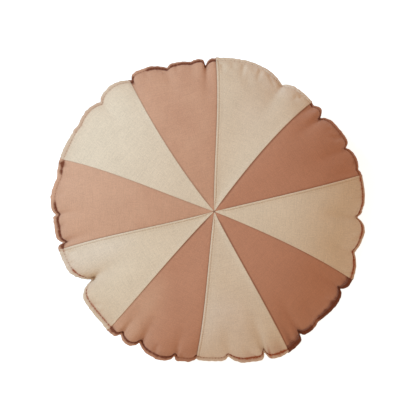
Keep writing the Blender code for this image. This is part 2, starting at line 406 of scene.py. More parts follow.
def starting_shape(up):
    """Rows of points of a half filled face (up is 1) or back (up is -1), from its middle out."""
    columns = np.arange(FILL_COLUMNS)
    angles, flat = rim_angle(columns), cut_angle(columns)
    share = FILL_SHARES
    turned = flat + turn_between(flat, angles) * share**2
    round_reach = 0.222
    reach = share * (round_reach + (stitch_reach(angles) - round_reach) * share**6)
    crown = (1 - share**2.5) ** 0.68 * (FACE_CROWN if up > 0 else BACK_CROWN)
    height = RIM_HEIGHT + (rim_height(angles) - RIM_HEIGHT) * share + up * crown * 0.9
    return spun(turned, reach, height)


def grid_faces(rows, columns, closed):
    """Quads between the rows of a grid of points, counted row by row."""
    row, column = np.meshgrid(
        np.arange(rows - 1), np.arange(columns if closed else columns - 1), indexing="ij"
    )
    following = (column + 1) % columns
    quads = (
        row * columns + column,
        (row + 1) * columns + column,
        (row + 1) * columns + following,
        row * columns + following,
    )
    return np.stack(quads, axis=-1).reshape(-1, 4)


def new_mesh(name, points, faces, edges=()):
    mesh = bpy.data.meshes.new(name)
    mesh.from_pydata(points.tolist(), edges, faces)
    mesh.update()
    return mesh


def in_scene(name, data):
    """A new object in the scene."""
    made = bpy.data.objects.new(name, data)
    bpy.context.scene.collection.objects.link(made)
    return made


PER_SIDE = FILL_ROWS * FILL_COLUMNS  # points of the face without its middle
MIDDLE = 2 * PER_SIDE - FILL_COLUMNS  # the point in the face's middle; the back's comes after it


def cover_points(face, back):
    """The cover's points: rows 1 to the rim of the face, rows 1 to the last but one of the back,
    then both middles."""
    sides = (face[1:].reshape(-1, 3), back[1:-1].reshape(-1, 3), face[:1, 0], back[:1, 0])
    return np.concatenate(sides)


def cover_faces():
    """The cover's faces. Face and back share the rim."""
    quads = grid_faces(FILL_ROWS, FILL_COLUMNS, True)
    back_points = np.arange(PER_SIDE) + PER_SIDE
    back_points[-FILL_COLUMNS:] -= PER_SIDE
    faces = quads.tolist() + back_points[quads][:, ::-1].tolist()
    for column in range(FILL_COLUMNS):
        following = (column + 1) % FILL_COLUMNS
        faces.append((MIDDLE, column, following))
        faces.append((MIDDLE + 1, PER_SIDE + following, PER_SIDE + column))
    return faces


def filled_cover():
    """Rows of points of the filled face and back. The rim is held at its outline, and the cloth,
    which keeps the size it was cut to, swells until it is tight."""
    face, back = starting_shape(1), starting_shape(-1)
    cover = in_scene("filling", new_mesh("filling", cover_points(face, back), cover_faces()))
    cover.shape_key_add(name="Basis")
    as_cut = cover.shape_key_add(name="as cut")
    flat = spun(cut_angle(np.arange(FILL_COLUMNS)), FILL_SHARES * CUT_RADIUS, 0)
    as_cut.data.foreach_set("co", cover_points(flat, flat).astype(np.float32).ravel())
    held = cover.vertex_groups.new(name="held")
    held.add(list(range(PER_SIDE - FILL_COLUMNS, PER_SIDE)), 1.0, "REPLACE")
    cloth = cover.modifiers.new("cloth", "CLOTH")
    for name, value in FILLING.items():
        setattr(cloth.settings, name, value)
    cloth.settings.vertex_group_mass = "held"
    cloth.settings.rest_shape_key = as_cut
    cloth.settings.effector_weights.gravity = 0
    cloth.collision_settings.use_collision = False
    cloth.collision_settings.use_self_collision = False
    cloth.point_cache.frame_start = 1
    cloth.point_cache.frame_end = FILL_STEPS
    scene = bpy.context.scene
    scene.frame_start, scene.frame_end = 1, FILL_STEPS
    for step in range(1, FILL_STEPS + 1):
        scene.frame_set(step)
    shown = cover.evaluated_get(bpy.context.evaluated_depsgraph_get())
    filled = np.zeros(len(shown.data.vertices) * 3, np.float32)
    shown.data.vertices.foreach_get("co", filled)
    filled = filled.reshape(-1, 3).astype(float)
    bpy.data.objects.remove(cover)
    scene.frame_set(1)
    sides = []
    for start, last_row, centre in ((0, FILL_ROWS, MIDDLE), (PER_SIDE, FILL_ROWS - 1, MIDDLE + 1)):
        rows = filled[start : start + last_row * FILL_COLUMNS].reshape(last_row, FILL_COLUMNS, 3)
        inner = np.repeat(filled[centre][None, None], FILL_COLUMNS, axis=1)
        sides.append(np.concatenate([inner, rows]))
    sides[1] = np.concatenate([sides[1], sides[0][-1:]])
    return sides


def between_points(values, at, closed):
    """Smooth values at fractional places along the first axis."""
    whole = np.floor(at).astype(int)
    part = (at - whole)[:, None, None]
    weights = (
        ((2 - part) * part - 1) * part / 2,
        ((3 * part - 5) * part * part + 2) / 2,
        ((4 - 3 * part) * part + 1) * part / 2,
        (part - 1) * part * part / 2,
    )
    total = 0
    for step, weight in zip((-1, 0, 1, 2), weights):
        index = whole + step
        if closed:
            total = total + weight * values[index % len(values)]
        else:
            total = total + weight * values[np.clip(index + 1, 0, len(values) - 1)]
    return total


def cloth_at(side, rows, columns):
    """Points of a filled side at fractional rows and columns."""
    across_middle = np.roll(side[1], FILL_COLUMNS // 2, axis=0)[None]
    past_rim = 2 * side[-1:] - side[-2:-1]
    padded = np.concatenate([across_middle, side, past_rim])
    along = between_points(padded, rows, False)
    return between_points(along.swapaxes(0, 1), columns, True).swapaxes(0, 1)


def settled(height):
    """The height once the surface below has flattened the cloth."""
    curve = (height + SETTLED) ** 2 / (4 * SETTLED)
    return np.where(height <= -SETTLED, 0, np.where(height < SETTLED, curve, height))


def seam_place(seam, share):
    """A seam's angle on its way to the rim."""
    inner = seam.start * (1 - share) * (1 - 2 * share) + seam.middle * 4 * share * (1 - share)
    return inner + seam.rim * share * (2 * share - 1)


def calmed(side):
    """The filled side with its gathers eased away inwards, as tight cloth has them, and with its
    seams where they run."""
    share = FILL_SHARES
    columns = np.arange(FILL_COLUMNS)
    side = side.copy()
    side[..., :2] -= side[0, 0, :2] * (1 - share[..., None] ** 2)
    reach = np.hypot(side[..., 0], side[..., 1])
    angle = np.degrees(np.arctan2(side[..., 1], side[..., 0]))
    turn = turn_between(cut_angle(columns), angle)
    turn[0] = turn[1]
    waves = np.arange(FILL_COLUMNS // 2 + 1)
    kept = bell(waves * (1.015 - share), CALM)
    reach, turn, height = (
        np.fft.irfft(np.fft.rfft(part, axis=1) * kept, FILL_COLUMNS, axis=1)
        for part in (reach, turn, side[..., 2])
    )
    angle = cut_angle(columns) + turn
    seams = SEAM_COLUMNS[:-1]
    for row in range(1, FILL_ROWS):
        past = np.append(angle[row], angle[row, 0] + 360)
        found = np.interp(seams % FILL_COLUMNS, np.arange(FILL_COLUMNS + 1), past)
        far = np.interp(seams % FILL_COLUMNS, columns, reach[row]) / stitch_reach(found)
        wanted = np.array([seam_place(seam, share) for seam, share in zip(SEAMS, far)])
        moved = turn_between(found, wanted)
        angle[row] += np.interp(columns, seams, moved, period=FILL_COLUMNS)
    return spun(angle, reach, 0) + np.stack([0 * height, 0 * height, height], axis=-1)


def full_crown(side, up):
    """The filled side, its height over the rim fitted to the solid's."""
    wanted = FACE_CROWN if up > 0 else BACK_CROWN
    middle = RIM_HEIGHT + (side[..., 2] - RIM_HEIGHT) * wanted / abs(side[0, 0, 2] - RIM_HEIGHT)
    side = side.copy()
    side[..., 2] += (middle - side[..., 2]) * (1 - FILL_SHARES**8)
    return side


# Fine cloth


def unit(vectors):
    return vectors / np.maximum(np.linalg.norm(vectors, axis=-1, keepdims=True), 1e-12)


def facing(points, closed):
    """Outward directions of a grid of points whose columns go anticlockwise seen from outside."""
    if closed:
        across = np.roll(points, -1, axis=1) - np.roll(points, 1, axis=1)
    else:
        across = np.gradient(points, axis=1)
    out = np.gradient(points, axis=0)
    return unit(np.cross(out, across))


def opened(share):
    """How far a side stands off the other one for the lip's thickness, this far out."""
    return LIP_AT_STITCHES * MM * eased((share - 0.9) * 10)


def with_lip(side, up, columns, rows):
    """A side's points at these rows and columns, followed by the rows of the lip."""
    points = cloth_at(side, rows, columns)
    points[..., 2] += up * opened(row_share(rows)[:, None])
    if up < 0:
        points[..., 2] = settled(points[..., 2])
    angles = rim_angle(columns)
    length = rim_length(columns)
    droop, middle = lip_droop(angles), rim_height(angles)
    uneven = LIP_UNEVEN * little_waves(length, (0.0077, 0.0101, 0.0167, 0.031), 21)
    lifts = little_waves(length, (0.0061, 0.0103, 0.0171, 0.037), 22)
    puffs = little_waves(length, (0.0067, 0.0093), 23 + up)
    for start, end, wider in WIDER_LIP:
        uneven = uneven + wider * within(start, end, 4, angles)
    lip = []
    for across, above in LIP_SECTION:
        out = LIP_WIDTH * across + MM * uneven * across
        raised = up * (above + 0.45 * puffs * min(1, 4 * across * (1 - across))) * MM
        reach = stitch_reach(angles) + out * np.cos(droop) + raised * np.sin(droop) * across
        height = middle - out * np.sin(droop) * across + raised + 0.7 * MM * lifts * across
        lip.append(spun(angles, reach, height))
    return np.concatenate([points, np.stack(lip)])


def on_outline(points):
    """Points about the meeting point, moved to where the solid has its outline."""
    scale = WIDTH / (EDGE_HIGH[0] - EDGE_LOW[0])
    placed = points.copy()
    placed[..., :2] = (points[..., :2] - (EDGE_LOW[:2] + EDGE_HIGH[:2]) / 2) * scale
    return placed


def little_waves(length, steps, seed):
    """Uneven waves along a sewn line, from about -1 to 1, each of steps being a wavelength in
    metres."""
    random = np.random.default_rng(seed)
    total = 0
    for step in steps:
        starts = random.uniform(0, 2 * math.pi, 2)
        slow = 0.6 + 0.4 * np.sin(length / (step * 4.3) * 2 * math.pi + starts[1])
        total = total + slow * np.sin(length / step * 2 * math.pi + starts[0])
    return total / len(steps)


def rim_puckers(share, columns, up):
    """Height of the small puckers that the rim's stitches draw up, fading onto the cloth."""
    waves = little_waves(rim_length(columns), (0.0071, 0.0113, 0.0187), 11 if up > 0 else 12)
    inward = (1 - share) * CUT_RADIUS
    amount = PUCKERS
    for start, end in SMOOTHER_RIM:
        amount = amount - SMOOTHER_BY * within(start, end, 5, rim_angle(columns))
    return amount * MM * waves * np.exp(-inward / 0.012) * eased(inward / 0.002)


def inward_from_rim(share):
    """How many millimetres of cloth there are to the row of stitches."""
    return np.maximum(1 - share, 0) * CUT_RADIUS / MM


def gather_creases(share, columns):
    """Depth of the creases that run inwards from the rim's notches."""
    inward = inward_from_rim(share)
    depth = 0
    for gather in GATHERS:
        pull = min(gather.depth, 18)
        away = along_rim(gather.angle, rim_angle(columns)) / MM * share
        width = max(1.8, 0.15 * pull) + inward * 0.09
        groove = bell(away, width) * np.exp(-inward / (3 * pull))
        depth = depth + 0.0065 * pull**2 * groove * eased(inward / 3)
    return depth * MM


def edge_columns():
    """Distances from a seam at the rim, close together by the seam and then wider."""
    near = [0.0, 0.06, 0.16, 0.32, 0.55, 0.8, 1.0]
    while near[-1] < 14:
        near.append(near[-1] * 1.24)
    return np.array(near) * MM


def wedge_columns(start, end):
    """Columns of a wedge between its seams, in parts of the filling's columns."""
    near = edge_columns() / COLUMN_STEP
    middle_start, middle_end = start + near[-1], end - near[-1]
    count = int(round((middle_end - middle_start) * COLUMN_STEP / (1.7 * MM)))
    middle = np.linspace(middle_start, middle_end, count + 1)[1:-1]
    return np.concatenate([start + near, middle, (end - near)[::-1]])


def ridge(inside, stitched):
    """Height of a cream wedge's surface near a seam, this far inside it, in millimetres."""
    roll = np.clip(1 - inside / EDGE_ROLL, 0, 1)
    height = (STITCHED_RIDGE if stitched else RIDGE_HEIGHT) * (1 - eased(inside / RIDGE_WIDTH))
    height = height - 0.75 * (1 - np.sqrt(1 - roll**2))
    if stitched:
        height = height - STITCH_DIMPLE * bell(inside - STITCH_LINE, 0.7)
    return height


def dip(inside):
    """Height of a rose wedge's surface near a seam, this far inside it, in millimetres."""
    return -ROSE_DIP * np.exp(-inside / 1.6)


def shell(outer, thickness, closed, middle):
    """Points and faces of cloth with its thickness. The outer grid's columns go round it, closed or
    not. middle closes the first row in one point."""
    normals = facing(outer, closed)
    inner = outer - normals * thickness
    rows, columns = outer.shape[:2]
    count = rows * columns
    points = [outer.reshape(-1, 3), inner.reshape(-1, 3)]
    quads = grid_faces(rows, columns, closed)
    faces = quads.tolist() + (quads[:, ::-1] + count).tolist()
    last = (rows - 1) * columns
    for column in range(columns if closed else columns - 1):
        following = (column + 1) % columns
        here, there = last + column, last + following
        faces.append((here, here + count, there + count, there))
        if closed:
            faces.append((2 * count, column, following))
            faces.append((2 * count + 1, following + count, column + count))
        else:
            faces.append((following, following + count, column + count, column))
    if closed:
        into = np.array([0, 0, math.copysign(thickness, normals[0, 0, 2])])
        points += [middle[None], (middle - into)[None]]
    else:
        for row in range(rows - 1):
            first, over = row * columns, (row + 1) * columns
            end, end_over = first + columns - 1, over + columns - 1
            faces.append((first, first + count, over + count, over))
            faces.append((end, end_over, end_over + count, end + count))
    return np.concatenate(points), faces


def stretched(angles):
    """What is left of the crease's painted shade at each angle, and how much more shade is painted
    on the lip.
    """
    left, lip = 1, 0
    for stretch in STRETCHES:
        there = within(stretch.start - 0.8, stretch.end + 0.8, 1.6, angles)
        left = left * (1 + (stretch.left - 1) * there)
        lip = lip + stretch.lip * there
    return left, lip


def rim_painted_shade(share, columns, creased, onto, spread, lip, fold_shades_at=()):
    """How much shade is painted on the cloth in the rim's crease, in the gathers, in its folds and
    on the lip.
    """
    angles = rim_angle(columns)
    inward = inward_from_rim(share)
    left, on_stretch = stretched(angles)
    waves = little_waves(rim_length(columns), (0.0061, 0.0131, 0.047), 31)
    # Painted shade in the rim's crease, broken up along it, and fading inwards from the rim
    patchy = creased * left * (0.72 + 0.6 * waves)
    painted_shade = bell(inward, onto) * patchy + RIM_PAINTED_SHADE * np.exp(-inward / 9)
    # Painted shade in the gathers' notches
    for gather in GATHERS:
        away = along_rim(gather.angle, angles) / MM
        pinched = min(gather.depth / 12, 1) * bell(away, 1.5 + inward * 0.1)
        painted_shade = painted_shade + GATHER_PAINTED_SHADE * pinched * np.exp(-inward / 3)
    # Painted shade in the folds at the rim
    fold_shading = 0
    for fold_shade in fold_shades_at:
        away = abs(along_rim(fold_shade.angle, angles)) / MM
        uneven_shade = 1 + 0.5 * np.sin(inward * 1.9 + away * 1.3)
        near = fold_shade.amount * bell(away, fold_shade.along) * uneven_shade
        fold_shading = fold_shading + near * bell(inward, fold_shade.inward)
    painted_shade = painted_shade + fold_shading
    # Painted shade on the lip
    across = LIP_ACROSS[:, None]
    on_lip = bell(across, spread) * patchy + lip + on_stretch
    if fold_shades_at:
        on_lip = on_lip + fold_shading[-1] * (1 - 0.6 * across)
    painted_shade[-len(LIP_SECTION) :] = on_lip
    return np.clip(painted_shade, 0, 1.25)


def wedge_painted_light(number, share, columns):
    """How much light is painted on a wedge as a paler colour: its own amount all over it, and more
    in its patches towards the rim.
    """
    faded = PAINTED_SHADING[number].faded + 0 * share * columns
    for lit_patch in PAINTED_LIGHTS:
        if lit_patch.wedge == number + 1:
            away = turn_between(lit_patch.angle, rim_angle(columns))
            outer = eased((share - lit_patch.inner) * 1.75 / (1 - lit_patch.inner))
            faded = faded + lit_patch.amount * bell(away, lit_patch.around) * outer
    return faded


def finish_piece(name, points, faces, grain, painted_shade, faded, finish):
    """A cover piece as an object, smooth, with its grain map, its painted shade and painted light
    and its material.
    """
    mesh = new_mesh(name, points, faces)
    for painted, values in (("painted_shade", painted_shade), ("faded", faded)):
        layer = mesh.attributes.new(painted, "FLOAT", "POINT")
        layer.data.foreach_set("value", values.astype(np.float32).ravel())
    layer = mesh.uv_layers.new(name="grain")
    corners = np.zeros(len(mesh.loops), np.int32)
    mesh.loops.foreach_get("vertex_index", corners)
    layer.uv.foreach_set("vector", grain[corners].astype(np.float32).ravel())
    mesh.polygons.foreach_set("use_smooth", np.ones(len(mesh.polygons), bool))
    mesh.materials.append(finish)
    piece = in_scene(name, mesh)
    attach(piece, "root")
    return piece


# Rows of a wedge from just off the meeting point to the row of stitches
FINE_ROWS = np.append([0.02, 0.08, 0.16], np.arange(1, 4 * FILL_ROWS + 1) / 4)


def shares_with_lip(rows):
    """How far out each row lies, the lip's rows all being at 1."""
    return np.concatenate([row_share(rows), np.ones(len(LIP_SECTION))])[:, None]


def edge_size(share):
    """How large sewn edges are: smaller towards the meeting point, where there is no room."""
    return np.clip(share * CUT_RADIUS / (FULL_EDGES * MM), 0.02, 1)


def beside_seams(number, columns, share):
    """For each of a wedge's two seams: the seam, whether it is stitched down on this wedge, and how
    far inside it each point lies, in millimetres where the edge has its full size."""
    before, after = SEAMS[number], SEAMS[(number + 1) % len(SEAMS)]
    small = edge_size(share)
    from_start = (columns - SEAM_COLUMNS[number]) * COLUMN_STEP * share / MM / small
    from_end = (SEAM_COLUMNS[number + 1] - columns) * COLUMN_STEP * share / MM / small
    return (
        (before, before.stitched == "after", from_start),
        (after, after.stitched == "before", from_end),
    )


def wedge_height(number, columns, share, on_lip):
    """How far a wedge's surface stands over the filled shape: its edges, puckers and creases."""
    waves = little_waves(share * CUT_RADIUS, (0.0083, 0.0129), 40 + number)
    height = 0
    for seam, stitched, inside in beside_seams(number, columns, share):
        profile = ridge(inside, stitched) if number % 2 else dip(inside)
        profile = profile + 0.16 * waves * np.exp(-inside / 5) * (1 - np.exp(-inside / 1.2))
        height = height + profile * edge_size(share) * on_lip * MM
    height = height + rim_puckers(share, columns, 1) - gather_creases(share, columns)
    return height - CENTRE_DIP * MM * bell(share * CUT_RADIUS, 3 * MM)


def wedge_painted_shade(number, columns, share):
    """How much shade is painted on a wedge at the rim, where the wedges meet and along its seams.
    """
    painted_shade = rim_painted_shade(share, columns, *PAINTED_SHADING[number][:4], FOLD_SHADES)
    # Painted shade where the wedges meet
    painted_shade = np.maximum(painted_shade, CENTRE_PAINTED_SHADE * bell(share * CUT_RADIUS, 1.9 * MM))
    # Painted shade along the seams: in the stitched seams' dimples and as shadow at the wedges'
    # edges
    for seam, stitched, inside in beside_seams(number, columns, share):
        dark = seam.inner_dark + (seam.outer_dark - seam.inner_dark) * share
        if stitched:
            edge_painted_shade = STITCH_PAINTED_SHADE * bell(inside - STITCH_LINE, 0.7)
        elif number % 2:
            edge_painted_shade = CREAM_EDGE_PAINTED_SHADE * dark * bell(inside, 0.4)
        else:
            edge_painted_shade = ROSE_EDGE_PAINTED_SHADOW * dark * bell(inside - 0.9, 1.2)
        painted_shade = np.maximum(painted_shade, edge_painted_shade)
    return painted_shade


def hidden_edge(base, grain, at, level, turned, small):
    """The columns past a wedge's first (at is 0) or last one (at is -1), where its edge is turned
    under or goes on below its neighbour, and their grain map."""
    sign = 1 if at == 0 else -1
    inside, above = np.array(turned).T[..., None]
    small = small[..., None] * MM
    sideways = unit(np.gradient(base, axis=1))[:, [at]] * sign * inside * small
    rise = facing(base, False)[:, [at]] * (above + level[..., None]) * small
    across = np.concatenate([-sign * inside * MM, 0 * inside], axis=1)
    return base[:, [at]] + sideways + rise, grain[:, [at]] + across


def wedge_surface(number, side):
    """The outer grid of a wedge of the face, its grain map, its painted shade and painted light and
    its thickness.
    """
    start, end = SEAM_COLUMNS[number], SEAM_COLUMNS[number + 1]
    columns, rows = wedge_columns(start, end), FINE_ROWS
    base = with_lip(side, 1, columns, rows)
    share = shares_with_lip(rows)
    small = edge_size(share)
    on_lip = np.concatenate([np.ones(len(rows)), np.full(len(LIP_SECTION), 0.45)])[:, None]
    cream = number % 2 == 1
    height = wedge_height(number, columns, share, on_lip)
    outer = base + facing(base, False) * height[..., None]
    flat = share * CUT_RADIUS
    flat[len(rows) :, 0] += LIP_WIDTH * LIP_ACROSS
    turn = np.radians(cut_angle(columns) - (cut_angle(start) + cut_angle(end)) / 2)
    grain = np.stack([flat * np.sin(-turn), flat * np.cos(turn)], axis=-1)
    turned = TURNED_UNDER if cream else GOES_UNDER
    edges = []
    for at, (seam, stitched, inside) in zip((0, -1), beside_seams(number, columns, share)):
        level = STITCHED_RIDGE if stitched else RIDGE_HEIGHT if cream else 0
        edges.append(hidden_edge(base, grain, at, level * on_lip, turned, small))
    (first, first_grain), (last, last_grain) = edges
    outer = np.concatenate([first[:, ::-1], outer, last], axis=1)
    grain = np.concatenate([first_grain[:, ::-1], grain, last_grain], axis=1)
    past_edges = ((0, 0), (len(turned), len(turned)))
    painted_shade = np.pad(wedge_painted_shade(number, columns, share), past_edges, mode="edge")
    faded = np.pad(wedge_painted_light(number, share, columns), past_edges, mode="edge")
    # Painted shade on a cream wedge's turned-under edges, in the crevice at the seam
    if cream:
        for hidden in (painted_shade[:, : len(turned)], painted_shade[:, -len(turned) :]):
            np.maximum(hidden, TURNED_PAINTED_SHADE, out=hidden)
    return outer, grain, painted_shade, faded, CLOTH * small[..., None]


def sew_wedge(number, side, finish, slot):
    """One wedge of the face, from the meeting point to the lip's turned edge."""
    outer, grain, painted_shade, faded, thickness = wedge_surface(number, side)
    points, faces = shell(on_outline(outer), thickness, False, None)
    grain = np.tile(grain.reshape(-1, 2), (2, 1))
    painted_shade, faded = np.tile(painted_shade.ravel(), 2), np.tile(faded.ravel(), 2)
    name = f"wedge_{number + 1:02d}_{slot.split('_')[0]}"
    return finish_piece(name, points, faces, grain, painted_shade, faded, finish)


def sew_back(side, finish):
    """The back, one round of cloth out to the lip's turned edge."""
    columns = np.arange(0, FILL_COLUMNS, 0.5)
    rows = np.concatenate([np.arange(1, 20), np.arange(40, 2 * FILL_ROWS + 1) / 2])
    base = with_lip(side, -1, columns, rows)[:, ::-1]
    columns = columns[::-1]
    share = shares_with_lip(rows)
    puckers = rim_puckers(share, columns, -1) - gather_creases(share, columns)
    outer = base + facing(base, True) * puckers[..., None]
    outer[..., 2] = np.maximum(outer[..., 2], 0)
    flat = share * CUT_RADIUS
    turn = np.radians(cut_angle(columns))
    grain = np.stack([flat * np.cos(turn), flat * np.sin(turn)], axis=-1)
    points, faces = shell(on_outline(outer), CLOTH, True, on_outline(np.zeros(3)))
    grain = np.concatenate([np.tile(grain.reshape(-1, 2), (2, 1)), np.zeros((2, 2))])
    # Painted shade in the back's rim crease and on its lip
    painted_shade = np.tile(rim_painted_shade(share, columns, 0.7, 1.2, 0.32, 0.15).ravel(), 2)
    painted_shade = np.append(painted_shade, (0, 0))
    # The back is painted a little paler all over
    faded = np.full(len(points), 0.1)
    return finish_piece("back", points, faces, grain, painted_shade, faded, finish)


# Stitches


def stitch_tree():
    """Stitches along a line: each is a short thread that dips into the cloth at both ends."""
    tree = bpy.data.node_groups.new("running stitches", "GeometryNodeTree")
    sockets = (
        ("Line", "INPUT", "Geometry", None),
        ("Stitch", "INPUT", "Float", 0.0034),
        ("Gap", "INPUT", "Float", 0.0009),
        ("Thread", "INPUT", "Float", 0.0007),
        ("Seed", "INPUT", "Int", 1),
        ("Finish", "INPUT", "Material", None),
        ("Stitches", "OUTPUT", "Geometry", None),
    )
    for name, way, kind, value in sockets:
        kind = "NodeSocket" + kind
        socket = tree.interface.new_socket(name=name, in_out=way, socket_type=kind)
        if value is not None:
            socket.default_value = value

    def node(kind, settings=None, **links):
        made = tree.nodes.new(kind)
        for name, value in (settings or {}).items():
            setattr(made, name, value)
        for name, value in links.items():
            socket = made.inputs[name.replace("_", " ")]
            if isinstance(value, bpy.types.NodeSocket):
                tree.links.new(value, socket)
            else:
                socket.default_value = value
        return made.outputs[0] if made.outputs else None

    given = tree.nodes.new("NodeGroupInput").outputs
    pitch = tree.nodes.new("ShaderNodeMath")
    pitch.operation = "ADD"
    tree.links.new(given["Stitch"], pitch.inputs[0])
    tree.links.new(given["Gap"], pitch.inputs[1])
    line = node("GeometryNodeMeshToCurve", Mesh=given["Line"])
    by_length = {"mode": "LENGTH"}
    line = node("GeometryNodeResampleCurve", by_length, Curve=line, Length=pitch.outputs[0])
    thread = node("GeometryNodeMeshUVSphere", Segments=8, Rings=7, Radius=0.5)
    size = node("ShaderNodeCombineXYZ", X=given["Stitch"], Y=given["Thread"], Z=given["Thread"])
    thread = node("GeometryNodeTransform", Geometry=thread, Scale=size)
    tangent = node("GeometryNodeInputTangent")
    along = node("FunctionNodeAlignRotationToVector", {"axis": "X"}, Vector=tangent)
    uneven = node(
        "FunctionNodeRandomValue",
        {"data_type": "FLOAT_VECTOR"},
        Min=(0.86, 0.88, 0.88),
        Max=(1.08, 1.1, 1.1),
        Seed=given["Seed"],
    )
    threads = node(
        "GeometryNodeInstanceOnPoints", Points=line, Instance=thread, Rotation=along, Scale=uneven
    )
    threads = node("GeometryNodeRealizeInstances", Geometry=threads)
    threads = node("GeometryNodeSetShadeSmooth", Geometry=threads)
    threads = node("GeometryNodeSetMaterial", Geometry=threads, Material=given["Finish"])
    node("NodeGroupOutput", Stitches=threads)
    return tree


def sew_stitches(name, lines, tree, slot, **settings):
    """One piece of stitches along the lines, each a row of points."""
    edges, start = [], 0
    for line in lines:
        edges += [(start + step, start + step + 1) for step in range(len(line) - 1)]
        start += len(line)
    carrier = in_scene("lines", new_mesh("lines", np.concatenate(lines), [], edges))
    modifier = carrier.modifiers.new("stitches", "NODES")
    modifier.node_group = tree
    for item in tree.interface.items_tree:
        if item.name in settings:
            modifier[item.identifier] = settings[item.name]
    shown = carrier.evaluated_get(bpy.context.evaluated_depsgraph_get())
    stitched = bpy.data.meshes.new_from_object(shown)
    stitched.name = name
    bpy.data.objects.remove(carrier)
    piece = in_scene(name, stitched)
    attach(piece, "root")


def rim_line(up):
    """Points of the rim's row of stitches, on the upper or lower side of the lip. They sink deeper
    where less shade is painted in the rim's crease."""
    columns = np.arange(FILL_COLUMNS * 8 + 1) / 8
    angles = rim_angle(columns)
    wedge = np.searchsorted(SEAM_COLUMNS[:-1], columns % FILL_COLUMNS, side="right") - 1
    creased = np.array([painted.creased for painted in PAINTED_SHADING])[wedge] * stretched(angles)[0]
    droop = lip_droop(angles)
    out = LIP_WIDTH * RIM_STITCHES_AT
    reach = stitch_reach(angles) + out * np.cos(droop)
    above = up * (0.85 - 0.4 * (1 - np.minimum(creased, 1))) * MM
    height = rim_height(angles) - out * np.sin(droop) * RIM_STITCHES_AT + above
    return on_outline(spun(angles, reach, height))


def seam_line(number, side):
    """Points of the stitches beside a seam, on the wedge that its allowances lie under."""
    seam = SEAMS[number]
    sign = 1 if seam.stitched == "after" else -1
    rows = np.arange(4, 4 * FILL_ROWS - 1) / 4
    share = row_share(rows)
    away = STITCH_LINE * MM * edge_size(share) / COLUMN_STEP / share
    line = []
    for row, column in zip(rows, SEAM_COLUMNS[number] + sign * away):
        pair = cloth_at(side, np.array([row, row + 0.05]), np.array([column, column + 0.1]))
        normal = unit(np.cross(pair[1, 0] - pair[0, 0], pair[0, 1] - pair[0, 0]))
        lifted = pair[0, 0] + normal * (ridge(STITCH_LINE, True) + 0.1) * MM
        line.append(lifted + np.array([0, 0, opened(row_share(row))]))
    return on_outline(np.array(line))


# Finishes


def both_ways(operation):
    """An operator of Wire and its reflected form. Each adds a Math node."""
    return (
        lambda wire, other: wire.maths(operation, wire, other),
        lambda wire, other: wire.maths(operation, other, wire),
    )


class Wire:
    """A number in a material. Sums on it add their Math nodes."""

    def __init__(self, finish, socket):
        self.finish = finish
        self.socket = socket

    def maths(self, operation, *values):
        return self.finish.node("Math", {"operation": operation}, dict(enumerate(values)))

    __add__, __radd__ = both_ways("ADD")
    __sub__, __rsub__ = both_ways("SUBTRACT")
    __mul__, __rmul__ = both_ways("MULTIPLY")
    __truediv__, __rtruediv__ = both_ways("DIVIDE")

    def __abs__(self):
        return self.maths("ABSOLUTE", self)

    def sine(self):
        return self.maths("SINE", self)

    def highest(self, other):
        return self.maths("MAXIMUM", self, other)

    def above(self, start, end):
        """0 up to start and 1 from end, with a smooth rise between."""
        inputs = {"Value": self, "From Min": start, "From Max": end}
        return self.finish.node("MapRange", {"interpolation_type": "SMOOTHSTEP"}, inputs)


class Finish:
    """A material, and the nodes of it that are made as it is written."""

    def __init__(self, name):
        self.material = bpy.data.materials.new(name)
        self.material.use_nodes = True
        self.tree = self.material.node_tree
        self.shader = self.tree.nodes["Principled BSDF"]

    def node(self, kind, settings, inputs, output=0):
        """A shader node. Its settings are set first, then its sockets get values or wires."""
        made = self.tree.nodes.new("ShaderNode" + kind)
        for name, value in settings.items():
            setattr(made, name, value)
        for name, value in inputs.items():
            self.join(made.inputs[name], value)
        return Wire(self, made.outputs[output])

    def mix(self, share, start, end):
        """From one colour to the other as share goes from 0 to 1."""
        settings = {"data_type": "RGBA", "clamp_factor": True}
        return self.node("Mix", settings, {0: share, 6: start, 7: end}, output=2)

    def join(self, socket, value):
        if isinstance(value, Wire):
            self.tree.links.new(value.socket, socket)
        else:
            socket.default_value = value

    def set(self, **values):
        for name, value in values.items():
            self.join(self.shader.inputs[name.replace("_", " ")], value)


def tinted(colour, amount):
    """The colour, made lighter or darker by this factor."""
    return tuple(min(part * amount, 1.0) for part in colour) + (1.0,)


